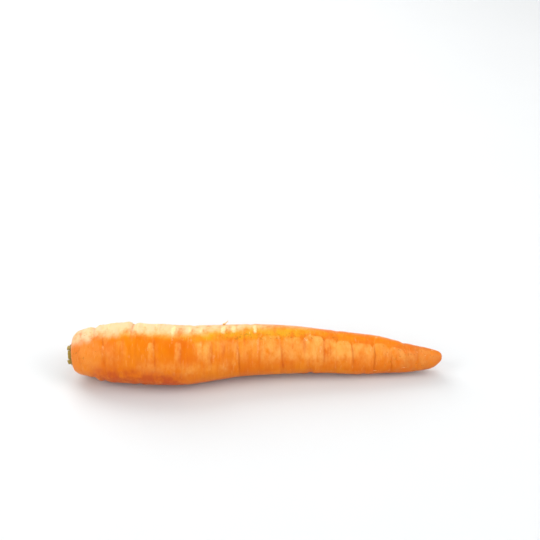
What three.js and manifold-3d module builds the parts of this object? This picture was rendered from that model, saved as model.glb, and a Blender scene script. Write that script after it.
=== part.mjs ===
// A carrot with its leaves trimmed off, lying on its side: the root, the cut stubs of its leaf stalks and the
// dried bases of its outer leaves round them. Millimetres, +Z up. The crown is at -X and the tip at +X, and
// the origin is under the middle of the carrot, on the surface that it lies on.
import * as THREE from "three";
import { mergeVertices } from "three/addons/utils/BufferGeometryUtils.js";
import Module from "manifold-3d";

const wasm = await Module();
wasm.setup();

// ---------------------------------------------------------------- driving dimensions

const SIDES = 30; // facets round the root
const CROWN_RINGS = 3; // rings of facets from one point of the shoulder to the next
const BODY_RINGS = 134; // rings of facets from the shoulder to the tip

// The hollow in the crown that the leaves grow from.
const HOLLOW_FLOOR_X = -91.3;
const HOLLOW_RADIUS = 5.95;
const CROWN_TILT = 0.04; // the crown's face leans out at the top by this slope
const CROWN_REACH = 26; // and the lean has faded out this far down the root

const TIP_X = 95;

// The root's outline: [along X, radius]. The shoulder runs from the hollow's rim to where the root has filled
// out, and the body from there to the blunt tip.
const SHOULDER = [
  [-92.5, 6.1],
  [-92.9, 6.8],
  [-92.6, 7.8],
  [-91.2, 9.3],
  [-88.8, 10.9],
  [-85.6, 12.3],
  [-81.0, 13.4],
];
const BODY = [
  [-81.0, 13.4],
  [-72.0, 14.9],
  [-62.0, 15.5],
  [-48.0, 15.5],
  [-34.0, 14.9],
  [-20.0, 14.0],
  [-6.0, 13.1],
  [8.0, 12.6],
  [22.0, 11.8],
  [36.0, 10.9],
  [50.0, 10.4],
  [62.0, 9.5],
  [73.0, 7.9],
  [83.0, 6.0],
  [89.5, 4.3],
  [93.2, 2.6],
  [94.7, 1.2],
  [TIP_X, 0],
];

// The root's middle line, at even steps along X from MIDDLE_START: [sideways Y, height Z]. It bends to and
// fro, arches a little off the surface past the middle, and lifts at the tip.
const MIDDLE_START = -90;
const MIDDLE_STEP = 14;
const MIDDLE = [
  [1.4, 13.5],
  [1.0, 13.9],
  [-0.5, 14.9],
  [-1.7, 14.9],
  [-1.6, 14.35],
  [1.3, 13.65],
  [3.9, 13.2],
  [4.8, 13.0],
  [5.3, 12.5],
  [5.2, 11.6],
  [4.9, 10.5],
  [5.5, 9.15],
  [4.0, 8.4],
  [3.8, 8.5],
];

// Creases across the root, where side roots grew: [along X, middle of the arc and half its length in degrees,
// depth, how far it slants along X in a quarter turn]. Angles are 0 towards -Y, 90 up and 180 towards +Y.
const CREASES = [
  [-80.4, 118, 62, 0.75, -1.0],
  [-81.4, -62, 70, 0.6, 1.2],
  [-76.4, 30, 40, 0.3, 0.5],
  [-75.6, -66, 56, 0.6, -0.9],
  [-74.0, 190, 46, 0.45, 0.6],
  [-66.6, 36, 34, 0.3, 0.4],
  [-61.2, 114, 60, 0.8, 0.5],
  [-58.0, -50, 44, 0.3, 0.6],
  [-52.2, 38, 36, 0.34, -0.3],
  [-46.0, 205, 60, 0.45, 0.9],
  [-38.4, 30, 40, 0.4, 0.3],
  [-31.0, 150, 44, 0.35, -0.6],
  [-27.0, 20, 34, 0.3, 0.4],
  [-21.6, 36, 46, 0.4, 0.2],
  [-15.0, 250, 50, 0.4, 0.5],
  [-8.2, 14, 66, 0.5, -1.0],
  [-2.4, 160, 54, 0.4, 0.8],
  [3.0, 26, 40, 0.34, 0.4],
  [13.4, 10, 74, 0.5, -1.8],
  [17.4, 190, 60, 0.4, 0.9],
  [24.6, 50, 44, 0.42, 0.4],
  [27.8, -52, 56, 0.6, -0.6],
  [34.6, 30, 66, 0.48, 1.2],
  [40.6, 170, 64, 0.4, -0.7],
  [48.8, 36, 60, 0.45, -1.4],
  [55.0, -40, 44, 0.3, 0.5],
  [60.0, 16, 70, 0.5, 0.3],
  [64.0, 190, 56, 0.4, 0.6],
  [68.6, 6, 60, 0.4, 0.5],
  [75.4, 110, 60, 0.35, -0.4],
  [82.0, 30, 50, 0.3, 0.4],
];
const CREASE_WIDTH = 1.25; // along X, from a crease's bottom to where it has mostly closed
const LIP_AT = 2.9; // from a crease to the crest of the swelling on either side of it
const LIP_WIDTH = 1.7;
const LIP_SHARE = 0.4; // the swelling's height over the crease's depth

// Slow lobes that drift round the root from crown to tip: how many there are round it, how far they stand out
// as a share of its radius, where the first one is in degrees, and the drift in degrees over a millimetre.
const LOBES = [
  [2, 0.014, 340, -0.5],
  [3, 0.01, 20, 0.5],
];
const RELIEF_FROM = -84; // creases and lobes have their full depth from here
const RELIEF_TO = 84; // to here, and fade out to the crown's rim and the tip

// The cut stubs of the leaf stalks, in whorls round the bud: how many, the radius of their outer face, how
// thick they are, the arc that each spans, where the first one is, their lean outwards and their length.
const STUBS_GAP = 0.35; // between the hollow's floor and what grows on it
const PLATE_RADIUS = 4.4;
const PLATE_HEIGHT = 1.3;
const PLATE_SIDES = 24;
const WHORLS = [
  { count: 5, radius: 4.55, thick: 1.25, arc: 64, first: 20, lean: 3, length: 2.85 },
  { count: 3, radius: 2.9, thick: 1.1, arc: 92, first: 50, lean: 2, length: 2.5 },
];
const BUD_RADIUS = 1.3;
const BUD_LENGTH = 2.2;
const BUD_SIDES = 7;
const CUT_UNEVEN = 0.3; // how much longer one stub is left than the next
const STUB_BEVEL = 0.2;

// The dried bases of the outer leaves: a low ring of scales that have grown together, between the stubs and
// the hollow's rim.
const SCALE_COUNT = 9;
const SCALE_RADIUS = 5.6; // to their outer face
const SCALE_THICK = 0.65;
const SCALE_LENGTH = 2.1;
const SCALE_NOTCH = 0.8; // how far the ring dips between two scales
const SCALE_UNEVEN = 0.25; // how much longer one scale is than the next
const SCALE_SPREAD = 0.2; // how far a scale's tip stands out from its foot
const SCALE_SIDES = 6; // facets across each scale

// ---------------------------------------------------------------- helpers

const radians = THREE.MathUtils.degToRad;
const smoothstep = THREE.MathUtils.smoothstep;

function bell(distance, width) {
  return Math.exp(-((distance / width) ** 2));
}

// The angle from b to a, the short way round.
function turnBetween(a, b) {
  return Math.atan2(Math.sin(a - b), Math.cos(a - b));
}

function toSolid(geometry) {
  const bare = geometry.clone();
  bare.deleteAttribute("normal");
  bare.deleteAttribute("uv");
  const merged = mergeVertices(bare, 1e-3);
  return new wasm.Manifold(
    new wasm.Mesh({
      numProp: 3,
      vertProperties: merged.attributes.position.array,
      triVerts: new Uint32Array(merged.index.array),
    }),
  );
}

function toGeometry(solid) {
  const mesh = solid.getMesh();
  const geometry = new THREE.BufferGeometry();
  geometry.setAttribute("position", new THREE.BufferAttribute(new Float32Array(mesh.vertProperties), 3));
  geometry.setIndex(new THREE.BufferAttribute(new Uint32Array(mesh.triVerts), 1));
  geometry.computeVertexNormals();
  return geometry;
}

function fuse(geometries) {
  return toGeometry(geometries.map(toSolid).reduce((whole, piece) => whole.add(piece)));
}

function named(name, geometry, colour, roughness) {
  const material = new THREE.MeshStandardMaterial({ color: colour, roughness, metalness: 0 });
  const mesh = new THREE.Mesh(geometry, material);
  mesh.name = name;
  return mesh;
}

// ---------------------------------------------------------------- the root

const middleLine = new THREE.CatmullRomCurve3(
  MIDDLE.map(([y, z], n) => new THREE.Vector3(MIDDLE_START + n * MIDDLE_STEP, y, z)),
  false,
  "catmullrom",
);

// The middle line at a place along X. Beyond its ends it runs on straight along X.
function middleAt(x) {
  const share = (x - MIDDLE_START) / (MIDDLE_STEP * (MIDDLE.length - 1));
  return middleLine.getPoint(THREE.MathUtils.clamp(share, 0, 1));
}

// How far the creases and the swellings beside them move the skin out.
function creaseRelief(x, angle) {
  let relief = 0;
  for (const [place, middle, halfArc, depth, slant] of CREASES) {
    const turn = turnBetween(angle, radians(middle));
    const share = Math.min(Math.abs(turn) / radians(halfArc), 1);
    const off = x - place - (slant * turn) / (Math.PI / 2);
    const lips = bell(off - LIP_AT, LIP_WIDTH) + bell(off + LIP_AT, LIP_WIDTH);
    relief += depth * Math.cos((share * Math.PI) / 2) * (LIP_SHARE * lips - bell(off, CREASE_WIDTH));
  }
  return relief;
}

// How far the lobes move the skin out, as a share of the radius.
function lobeRelief(x, angle) {
  let relief = 0;
  for (const [count, size, first, drift] of LOBES) {
    relief += size * Math.cos(count * (angle - radians(first + drift * x)));
  }
  return relief;
}

function rootGeometry() {
  const points = (outline) => outline.map(([x, radius]) => new THREE.Vector2(radius, x));
  const shoulder = new THREE.SplineCurve(points(SHOULDER));
  const body = new THREE.SplineCurve(points(BODY));
  const profile = [
    new THREE.Vector2(0, HOLLOW_FLOOR_X),
    new THREE.Vector2(HOLLOW_RADIUS, HOLLOW_FLOOR_X),
    ...shoulder.getPoints(CROWN_RINGS * (SHOULDER.length - 1)),
    ...body.getSpacedPoints(BODY_RINGS).slice(1),
  ];
  const root = new THREE.LatheGeometry(profile, SIDES);
  const place = root.getAttribute("position");
  for (let i = 0; i < place.count; i++) {
    const x = place.getY(i);
    const radius = Math.hypot(place.getX(i), place.getZ(i));
    const angle = Math.atan2(place.getX(i), -place.getZ(i));
    const share = smoothstep(x, HOLLOW_FLOOR_X, RELIEF_FROM) * (1 - smoothstep(x, RELIEF_TO, TIP_X));
    const out = radius * (1 + share * lobeRelief(x, angle)) + share * creaseRelief(x, angle);
    const up = out * Math.sin(angle);
    const lean = CROWN_TILT * up * (1 - smoothstep(x, HOLLOW_FLOOR_X, HOLLOW_FLOOR_X + CROWN_REACH));
    const middle = middleAt(x);
    place.setXYZ(i, x - lean, middle.y - out * Math.cos(angle), Math.max(middle.z + up, 0));
  }
  return root;
}

// ---------------------------------------------------------------- the crown

// A leaf stalk's stub standing on the XY plane: a slice of a ring with bevelled edges.
function crescent(radius, thick, arc, length) {
  const half = radians(arc) / 2;
  const section = new THREE.Shape();
  section.absarc(0, 0, radius - STUB_BEVEL, -half, half, false);
  section.absarc(0, 0, radius - thick + STUB_BEVEL, half, -half, true);
  return new THREE.ExtrudeGeometry(section, {
    depth: length - 2 * STUB_BEVEL,
    curveSegments: 5,
    bevelThickness: STUB_BEVEL,
    bevelSize: STUB_BEVEL,
    bevelSegments: 1,
  }).translate(0, 0, STUB_BEVEL);
}

function stalksGeometry() {
  const plate = new THREE.CylinderGeometry(PLATE_RADIUS, PLATE_RADIUS, PLATE_HEIGHT, PLATE_SIDES);
  const bud = new THREE.ConeGeometry(BUD_RADIUS, BUD_LENGTH, BUD_SIDES);
  const pieces = [
    plate.rotateX(Math.PI / 2).translate(0, 0, PLATE_HEIGHT / 2),
    bud.rotateX(Math.PI / 2).translate(0, 0, BUD_LENGTH / 2),
  ];
  for (const { count, radius, thick, arc, first, lean, length } of WHORLS) {
    for (let n = 0; n < count; n++) {
      const cut = length + CUT_UNEVEN * Math.sin(2.4 * n + first);
      const stub = crescent(radius, thick, arc, cut);
      stub.translate(-radius, 0, 0).rotateY(radians(lean)).translate(radius, 0, 0);
      pieces.push(stub.rotateZ(radians(first) + (2 * Math.PI * n) / count));
    }
  }
  return fuse(pieces);
}

function driedBasesGeometry() {
  const inner = SCALE_RADIUS - SCALE_THICK;
  const corners = [
    [inner, 0],
    [SCALE_RADIUS, 0],
    [SCALE_RADIUS, SCALE_LENGTH],
    [inner, SCALE_LENGTH],
    [inner, 0],
  ];
  const section = corners.map(([radius, height]) => new THREE.Vector2(radius, height));
  const ring = new THREE.LatheGeometry(section, SCALE_COUNT * SCALE_SIDES);
  const place = ring.getAttribute("position");
  for (let i = 0; i < place.count; i++) {
    if (place.getY(i) === 0) continue;
    const angle = Math.atan2(place.getX(i), place.getZ(i));
    const peak = Math.abs(Math.sin((SCALE_COUNT / 2) * angle));
    const spread = 1 + (SCALE_SPREAD * peak) / SCALE_RADIUS;
    const uneven = SCALE_UNEVEN * Math.sin(2 * angle + 1);
    const height = SCALE_LENGTH - SCALE_NOTCH * (1 - peak) + uneven;
    place.setXYZ(i, place.getX(i) * spread, height, place.getZ(i) * spread);
  }
  return ring.rotateX(Math.PI / 2);
}

function onCrown(mesh) {
  const foot = middleAt(HOLLOW_FLOOR_X);
  mesh.rotation.set(0, -Math.PI / 2 - Math.atan(CROWN_TILT), 0);
  mesh.position.set(HOLLOW_FLOOR_X - STUBS_GAP, foot.y, foot.z);
  return mesh;
}

// ---------------------------------------------------------------- the carrot

const carrot = new THREE.Group();
carrot.add(named("root", rootGeometry(), 0xf0811c, 0.42));
carrot.add(onCrown(named("leaf_stalks", stalksGeometry(), 0x9aa03c, 0.6)));
carrot.add(onCrown(named("dried_leaf_bases", driedBasesGeometry(), 0x6b431c, 0.85)));

export default carrot;
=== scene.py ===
"""A carrot with its leaves trimmed off, lying on a pale floor: the skin, scars, rootlets and cut leaf stalks.

Every length in this file is in millimetres unless its name or its property says otherwise, and Blender gets
metres. Angles round the root are 0 towards -Y, 90 up and 180 towards +Y, as in the solids that this dresses.
"""

import math

import bpy
import numpy as np
from mathutils import Matrix, Vector


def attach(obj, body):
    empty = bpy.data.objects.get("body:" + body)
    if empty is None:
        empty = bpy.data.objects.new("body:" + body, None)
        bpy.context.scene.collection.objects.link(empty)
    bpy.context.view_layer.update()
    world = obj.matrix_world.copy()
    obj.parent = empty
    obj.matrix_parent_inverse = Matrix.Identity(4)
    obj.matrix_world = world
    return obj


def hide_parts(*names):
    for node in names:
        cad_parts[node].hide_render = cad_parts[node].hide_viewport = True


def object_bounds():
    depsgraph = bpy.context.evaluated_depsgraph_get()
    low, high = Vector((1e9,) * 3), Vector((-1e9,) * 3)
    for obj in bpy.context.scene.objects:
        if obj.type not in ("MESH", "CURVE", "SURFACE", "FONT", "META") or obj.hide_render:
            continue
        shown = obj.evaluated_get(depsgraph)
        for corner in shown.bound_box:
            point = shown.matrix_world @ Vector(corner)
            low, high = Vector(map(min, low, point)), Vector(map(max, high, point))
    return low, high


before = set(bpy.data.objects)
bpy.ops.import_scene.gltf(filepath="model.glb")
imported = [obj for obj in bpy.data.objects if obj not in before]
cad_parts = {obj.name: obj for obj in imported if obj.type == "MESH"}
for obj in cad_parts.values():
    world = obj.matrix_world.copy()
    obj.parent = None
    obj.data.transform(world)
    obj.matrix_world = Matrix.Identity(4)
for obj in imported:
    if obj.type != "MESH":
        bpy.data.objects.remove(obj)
CAD_LOW, CAD_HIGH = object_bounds()

bl_info = {
    "name": "Trimmed carrot",
    "version": (1, 0, 0),
    "blender": (4, 5, 0),
    "location": "3D View > Sidebar > Carrot",
    "description": "Builds a trimmed carrot lying on a pale floor, piece by piece",
    "category": "Add Mesh",
}

MM = 0.001
FINE_STEPS = 200  # per point, while a curve's length is measured

# ---------------------------------------------------------------- the root's form, as the solid has it

TIP_X = CAD_HIGH[0] / MM
HOLLOW_FLOOR_X = -90.9  # just over the foot of the stubs' plate, so that they grow out of it
CROWN_X = -91.3  # the lean of the crown's face is full, and the relief begins, here
CROWN_TILT = 0.075  # the crown's face leans out at the top by this slope
CROWN_REACH = 26  # and the lean has faded out this far down the root

# The outline from the hollow over its rim to the shoulder, and on to the blunt tip: (along X, radius).
HOLLOW = [(HOLLOW_FLOOR_X, 0), (HOLLOW_FLOOR_X, 2.6), (HOLLOW_FLOOR_X, 5.2), (-91.0, 5.8), (-91.4, 6.1)]
HOLLOW_GAP = 0.5  # between its rings of facets
SHOULDER = [
    (-91.4, 6.1), (-91.9, 6.8), (-91.9, 7.8), (-91.2, 9.3), (-89.1, 11.0), (-85.6, 12.3), (-81.0, 13.4),
]
BODY = [
    (-81.0, 13.4), (-72.0, 14.9), (-62.0, 15.5), (-48.0, 15.5), (-34.0, 14.9), (-20.0, 14.0),
    (-6.0, 13.1), (8.0, 12.6), (22.0, 11.8), (36.0, 10.9), (50.0, 10.4), (62.0, 9.5),
    (73.0, 7.9), (83.0, 6.2), (89.5, 4.9), (93.2, 3.1), (94.6, 1.6), (TIP_X, 0),
]

# The middle line at even steps along X: (sideways Y, height Z).
MIDDLE_START = -90
MIDDLE_STEP = 14
MIDDLE = [
    (1.4, 13.5), (1.0, 13.9), (-0.5, 14.9), (-1.7, 14.9), (-1.6, 14.35), (1.3, 13.65), (3.9, 13.2),
    (4.8, 13.0), (5.3, 12.5), (5.2, 11.6), (4.9, 10.5), (5.5, 9.15), (4.0, 8.3), (3.8, 8.0),
]
TIP_LIFT = 1.1  # the very tip turns up by this
TIP_LIFT_FROM = 89.5  # starting here along X

# Creases: (along X, middle of the arc and half its length in degrees, depth, slant in a quarter turn, and how
# much of a cleft it has at its bottom, which is drawn dark as a painted shade line).
CREASES = [
    (-80.4, 118, 62, 0.75, -1.0, 0.3),
    (-81.4, -62, 70, 0.6, 1.2, 0.15),
    (-75.4, 60, 13, 0.3, 0.2, 0.8),
    (-75.6, -66, 56, 0.6, -0.9, 0.15),
    (-74.0, 190, 46, 0.45, 0.6, 0.15),
    (-66.6, 36, 34, 0.3, 0.4, 0.2),
    (-61.2, 114, 60, 0.8, 0.5, 0.35),
    (-58.0, -50, 44, 0.3, 0.6, 0.15),
    (-49.7, 38, 36, 0.34, -0.3, 0.35),
    (-46.0, 205, 60, 0.45, 0.9, 0.15),
    (-36.5, 30, 40, 0.4, 0.3, 0.3),
    (-31.0, 150, 44, 0.35, -0.6, 0.15),
    (-27.0, 20, 34, 0.3, 0.4, 0.15),
    (-21.6, 36, 46, 0.4, 0.2, 0.15),
    (-15.0, 250, 50, 0.4, 0.5, 0.15),
    (-8.2, 14, 66, 0.5, -1.0, 0.6),
    (-2.4, 160, 54, 0.4, 0.8, 0.15),
    (3.0, 26, 40, 0.34, 0.4, 0.3),
    (13.4, 10, 74, 0.5, -1.8, 0.3),
    (17.4, 190, 60, 0.4, 0.9, 0.15),
    (24.6, 50, 44, 0.42, 0.4, 0.15),
    (27.8, -52, 56, 0.45, -0.6, 0.15),
    (34.6, 30, 66, 0.48, 1.2, 0.3),
    (40.6, 170, 64, 0.4, -0.7, 0.15),
    (48.8, 36, 60, 0.45, -1.4, 0.5),
    (55.0, -40, 44, 0.3, 0.5, 0.3),
    (60.0, 16, 70, 0.5, 0.3, 0.7),
    (64.0, 190, 56, 0.4, 0.6, 0.15),
    (68.6, 6, 60, 0.4, 0.5, 0.5),
    (75.4, 110, 60, 0.35, -0.4, 0.3),
    (82.0, 30, 50, 0.3, 0.4, 0.3),
]
CREASE_REACH = 9  # nothing of a crease is left this far from it
CREASE_WIDTH = 1.25  # along X, from a crease's bottom to where it has mostly closed
LIP_AT = 2.9  # from a crease to the crest of the swelling on either side of it
LIP_WIDTH = 1.7
LIP_SHARE = 0.4  # the swelling's height over the crease's depth

# Slow lobes that drift round the root: how many there are round it, how far they stand out as a share of its
# radius, where the first one is in degrees, and the drift in degrees over a millimetre.
LOBES = [(2, 0.014, 340, -0.5), (3, 0.01, 20, 0.5)]
RELIEF_FROM = -84  # creases and lobes have their full depth from here
RELIEF_TO = 84  # to here
END_RELIEF = 0.6  # share of the creases' depth that is left where the root narrows to its ends
END_RADII = (1.0, 3.0)  # and that share fades out from the second radius to the first

# ---------------------------------------------------------------- the crown, in its own frame: Z out, X up

CROWN_SHIFT = (-0.6, -0.6)  # the hollow sits off the middle line by this: sideways Y, height Z
CROWN_SHIFT_RADII = (6.8, 11)  # the whole shift as far out as the first radius, and none from the second
CROWN_PLACE = (-90.8, MIDDLE[0][0] + CROWN_SHIFT[0], MIDDLE[0][1] + CROWN_SHIFT[1])

PLATE_RADIUS = 4.8
PLATE_TOP = 0.9
PLATE_SIDES = 64
# From its foot over its edge to its middle: (share of its radius, share of its height).
PLATE_OUTLINE = [(0.9, 0), (1, 0.1), (1, 0.7), (0.95, 0.92), (0.8, 1), (0.55, 0.96), (0.3, 1), (0.02, 1.04)]
PLATE_BUMPY = 0.9  # the plate is bumpy above this share of its height
PLATE_BUMPS = 0.08
PLATE_ROUGH = 0.03

# Whorls of cut leaf stalks: how many, outer radius, thickness, arc in degrees, first one's turn in degrees,
# how far they lean out in degrees, and length.
WHORLS = [(5, 4.55, 1.25, 64, 20, 3, 3.7), (3, 2.9, 1.1, 92, 50, 2, 3.35)]
CUT_UNEVEN = 0.3  # how much longer one stub is left than the next
CUT_TILT = 0.07  # how far up or down a cut may slope to a stub's edge
CUT_TILT_FROM = 2  # above this height
CUT_TORN = 0.03  # and how far its torn edge goes up and down
CUT_DIP = 0.22  # the cut has dried a little hollow
STALK_SIDES = 31  # points across a stub's back
STALK_EDGE = 0.55  # its thickness at its edges over that in its middle
STALK_RIBS = 5
STALK_RIB = 0.05  # how far a rib stands out
STALK_ROUGH = 0.012
STALK_BEVEL = 0.18
STALK_LINE = 0.96  # it narrows towards a line that is this share of its width
# A stub's section as it rises: (height, size), then up to the cut (how far below it, size, how fresh it is),
# then over the cut to its middle (size, share of the dip).
STALK_FOOT = [(0.5, 1.04), (1.1, 1.02), (1.6, 1.0)]
STALK_TOP = [(0.6, 0.98, 0.0), (STALK_BEVEL, 0.97, 0.0), (0.3 * STALK_BEVEL, 0.92, 0.5), (0, 0.82, 1.0)]
STALK_CUT = [(0.7, 0.3), (0.45, 0.8), (0.2, 1), (0.04, 1)]
STALK_FADE = (0.9, 1.9)  # the foot's colour has gone from the first height to the second

BUD_RADIUS = 1.3
BUD_LENGTH = 2.9
BUD_LOBES = 5
BUD_LOBE = 0.14  # how far its lobes stand out, over its radius
BUD_RINGS = 12
BUD_SIDES = 60
BUD_FROM = 0.3  # share of its length at which it comes out of the plate
BUD_POINT = 0.12  # radius of its end
BUD_FADE = (0.35, 0.7)  # the foot's colour has gone between these shares of its length

# The dried leaf bases: nine scales in front and nine behind them, which are shorter and stand further in.
SCALE_COUNT = 9
SCALE_RADIUS = 5.55
SCALE_LENGTH = 2.3
SCALE_THICK = 0.34  # at its foot
SCALE_THINNER = 0.75  # and thinner by this share at its top
SCALE_NARROWER = 0.35  # and narrower by this one
SCALE_BEVEL = 0.02
SCALE_NOTCH = 0.8  # how much lower its corners are than its middle
SCALE_UNEVEN = 0.25  # how much longer one scale is than the next
SCALE_ASTRAY = 0.12  # how far out of its place it may stand, over the space between two
SCALE_HALF = (0.3, 0.4)  # half its width in radians, from and to
SCALE_CURL = (0.0, 0.22)  # how far its top curls out, from and to
SCALE_TORN = (0.12, 0.06)  # its torn edge: in waves, and at random
SCALE_LOWEST = 0.5
SCALE_WAVE = 0.04
SCALE_SIDES = 17  # points across its front
SCALE_RINGS = 9
SCALE_FADE = (0.7, 1.0)  # its edge bleaches between these shares of its length
BEHIND_SHORTER = 0.45
BEHIND_IN = 0.3

# Rootlets: (along X, angle in degrees, length, thickness at the foot, how far they stand off the skin at the
# end, and which way they lie, in degrees from the way to the tip towards the way up round the root).
ROOTLETS = [
    (-16.6, 120, 3.0, 1.15, 1.9, 24),
    (-16.0, 112, 2.2, 0.3, 0.5, 60),
    (-3.0, 84, 1.8, 0.24, 0.3, -80),
    (24.6, 70, 2.0, 0.3, 0.4, -64),
    (59.0, -22, 9.5, 0.24, 0.1, -3),
    (72.0, -10, 4.5, 0.2, 0.3, 12),
    (44.0, 62, 1.6, 0.2, 0.4, 80),
    (84.0, 48, 2.4, 0.2, 0.5, 10),
    (88.0, 96, 3.0, 0.2, 0.7, -8),
    (66.0, 152, 4.4, 0.24, 0.7, 30),
    (30.0, 188, 5.4, 0.26, 0.8, -20),
    (6.0, 226, 3.0, 0.22, 0.3, 50),
    (-24.0, 172, 4.8, 0.28, 1.0, 15),
    (-48.0, 204, 3.0, 0.24, 0.5, -40),
    (-66.0, 150, 2.2, 0.22, 0.5, 70),
    (46.0, 208, 3.6, 0.22, 0.4, 6),
    (80.0, 214, 3.2, 0.2, 0.3, 14),
]
ROOTLET_RINGS = 14
ROOTLET_WANDER = 0.05  # usual turn from one ring to the next, in radians
ROOTLET_TAPER = 0.8
ROOTLET_SUNK = 0.16  # how deep its foot lies in the skin
ASIDE = (0.2, 0.3, 1.0)  # a direction that no rootlet runs along

# ---------------------------------------------------------------- finer relief that only the skin has

CLEFT_WIDTH = 0.5
CLEFT_DEPTH = 0.1
CREASE_SHADE_WIDTH = 0.6  # how wide a crease's bottom is darkened with painted shade, over the crease's width
CREASE_SHADE_SHARE = 0.9  # how much, over its depth
CREASE_SHADE_MOST = 0.45

# Lines across the root wander along it, in waves: (how far, how many to a turn).
CREASE_WANDER = [(0.25, 5), (0.12, 13)]
WRINKLE_WANDER = [(0.3, 4)]
SCAR_WANDER = [(0.16, 9), (0.1, 23)]

# Pale raised scars across the root, where side roots broke off: (along X, middle of the arc and half its
# length in degrees, width, height, paleness). These are the plain ones; faint ones are drawn at random.
# Those along the top, near 95 degrees, are paler than the rest: pale scars with a painted glint where they
# catch the light.
SCARS = [
    (-73.2, 108, 30, 0.6, 0.06, 0.6),
    (-58.6, 112, 30, 0.6, 0.08, 0.7),
    (-55.8, 116, 34, 0.5, 0.06, 0.6),
    (-49.4, 110, 26, 0.6, 0.08, 0.6),
    (-50.0, 45, 18, 0.9, 0.1, 0.2),
    (-40.7, 95, 17, 1.0, 0.28, 1.2),
    (-41.0, 70, 16, 0.8, 0.08, 0.3),
    (-32.8, 97, 14, 0.9, 0.28, 1),
    (-33.2, 74, 14, 0.6, 0.06, 0.3),
    (-27.1, 94, 14, 0.9, 0.26, 0.9),
    (-16.1, 94, 15, 1.2, 0.3, 1.3),
    (-10.9, 97, 17, 1.1, 0.28, 1.2),
    (-8.9, 36, 40, 0.8, 0.1, 0.3),
    (-0.3, 95, 19, 0.9, 0.28, 1.2),
    (1.5, 52, 24, 0.8, 0.1, 0.35),
    (12.0, 60, 16, 0.7, 0.08, 0.25),
    (25.8, 64, 7, 0.8, 0.16, 0.5),
    (58.2, 52, 14, 0.7, 0.1, 0.3),
]
SCAR_REACH = 4
# The thin painted shade line beside a scar, on its shaded side: how dark over its paleness, how far off over
# its width, and how wide.
SCAR_SHADE_LINE = (0.45, 1.3, 0.42)

# Segments that swell between creases: start and end along X, lower and upper edge in degrees, height (below 0
# where one sinks in), how pale their skin is, partly as a dried film and partly as a painted sheen on the
# crests that fades downwards, and how wide that pale patch's edge fades.
SEGMENTS = [
    (-90, -84, 66, 126, 0.35, 0, 1),
    (-81, -75.8, 82, 134, 0.3, 0, 1),
    (-76, -65, 82, 142, 0.25, 0, 1),
    (-64, -46, 68, 152, -0.5, 0, 1),
    (-90, -80.5, -96, -6, -0.7, 0, 1),
    (-93, -76, -30, 60, 0, 0.35, 4),
    (-80, -62, 0, 54, 0, 0.45, 5),
    (-68.8, -65.8, 24, 62, 0.12, 0.5, 1.2),
    (-52.6, -49.9, 18, 60, 0.2, 0.8, 0.9),
    (-39.6, -36.8, 8, 64, 0.18, 0.66, 1),
    (-28.6, -26.4, 14, 62, 0.14, 0.9, 0.9),
    (-26.0, -21.4, 10, 62, 0.14, 0.9, 1),
    (-60, -7, -14, 26, 0.04, 0.7, 5),
    (-31, -9, 32, 66, 0.1, 0.85, 3),
    (-11, 2.7, 6, 64, 0.1, 0.7, 2.5),
    (2.6, 13.2, -6, 73, 0.2, 0.75, 1),
    (13.6, 24.2, -6, 71, 0.2, 0.75, 1),
    (24.4, 34.2, -6, 80, 0.18, 1.1, 1),
    (34.4, 40.4, -6, 75, 0.16, 0.85, 1),
    (40.5, 48.2, -6, 73, 0.18, 0.88, 1),
    (48.5, 59.1, -8, 70, 0.18, 0.67, 1),
    (59.2, 67.4, -10, 76, 0.16, 0.56, 1),
    (67.4, 75.8, -16, 72, 0.12, 0.6, 1.2),
    (75.4, 82.4, -24, 76, 0.1, 0.42, 1.6),
    (82.0, 97, -40, 96, 0.05, 0.45, 2),
]
FILM_OVERLAP = 0.6  # neighbouring segments' pale dried skin and painted sheen meet in the crease between them

# What is drawn at random, from and to, in the order in which it is drawn. An arc's middle and half its length
# are in degrees, as above.
BACK_SEGMENTS = 34  # on the side that the list of segments leaves out
BACK_SEGMENT = {
    "start": (-84, 78),
    "low edge": (120, 236),
    "length": (5, 14),
    "arc": (36, 70),
    "height": (0.08, 0.22),
    "film_and_sheen": (0.4, 0.8),
}
BACK_FADE = 2
WRINKLE = {"along": (-90, 93), "middle": (0, 360), "half": (9, 44)}
WRINKLE_SLANT = 0.7  # usual slant in a quarter turn
WRINKLE_WIDTH = (0.35, 0.9)
WRINKLE_SHARE = (0.2, 1)  # of the deepest wrinkle's depth
WRINKLE_REACH = 3
# how much painted shade a sunken wrinkle gets, over its depth
WRINKLE_SHADE = 0.3
SUNKEN = 0.7  # share of the wrinkles that sink in
RAISED = 0.7  # the others stand up by this share of their depth
NECK = (-60, -84)  # from here to here along X, the wrinkles deepen towards the crown
NECK_DEEPER = 2  # by this many times
DENTS = 70
DENT = {"along": (-86, 90), "middle": (0, 360), "width": (2.5, 7), "half": (12, 34), "depth": (-0.16, 0.16)}
DENT_REACH = 16
FAINT_SCAR = {
    "along": (-84, 90),
    "middle": (20, 210),
    "half": (5, 20),
    "width": (0.35, 0.8),
    "paleness": (0.1, 0.4),
}
FAINT_SCAR_HEIGHT = 0.07

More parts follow.
